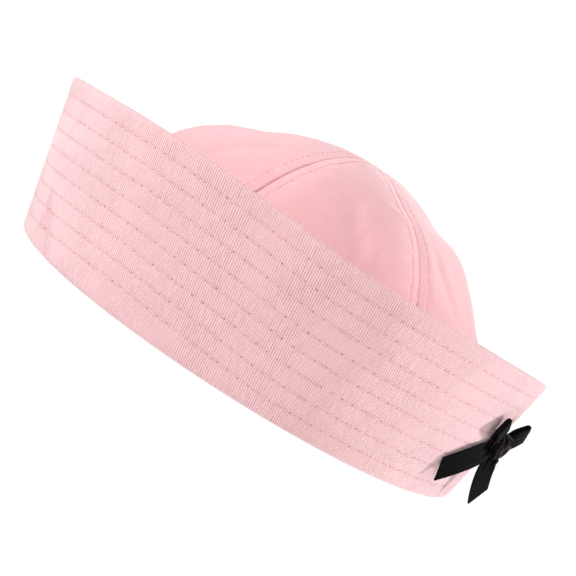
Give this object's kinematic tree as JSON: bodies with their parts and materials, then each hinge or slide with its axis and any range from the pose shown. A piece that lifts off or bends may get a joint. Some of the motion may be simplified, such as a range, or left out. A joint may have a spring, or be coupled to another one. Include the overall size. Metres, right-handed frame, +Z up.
{
  "type": "sailor hat",
  "caption": "Soft round hat: a domed crown of sewn gores inside a wide flared brim turned up all the way round, with a small ribbon bow at the side.",
  "frame": {"origin": "centre, in plan, of the flat ring under the brim's fold, on which the hat rests, at the height of that ring", "axes": "+Z up through the crown; -Y is the side seen in front, opposite to +Y; +X is the side that carries the bow"},
  "size_m": [0.2093, 0.2288, 0.0889],
  "materials": {
    "brim_cotton": "ribbed cotton, matt",
    "crown_cotton": "ribbed cotton, matt",
    "velvet": "black velvet"
  },
  "bodies": {
    "root": {"brim": "brim_cotton", "crown_panel_1": "crown_cotton", "crown_panel_2": "crown_cotton", "crown_panel_3": "crown_cotton", "crown_panel_4": "crown_cotton", "crown_panel_5": "crown_cotton", "crown_panel_6": "crown_cotton", "bow_knot": "velvet", "bow_loop_left": "velvet", "bow_loop_right": "velvet", "bow_tail_left": "velvet", "bow_tail_right": "velvet"}
  },
  "joints": []
}
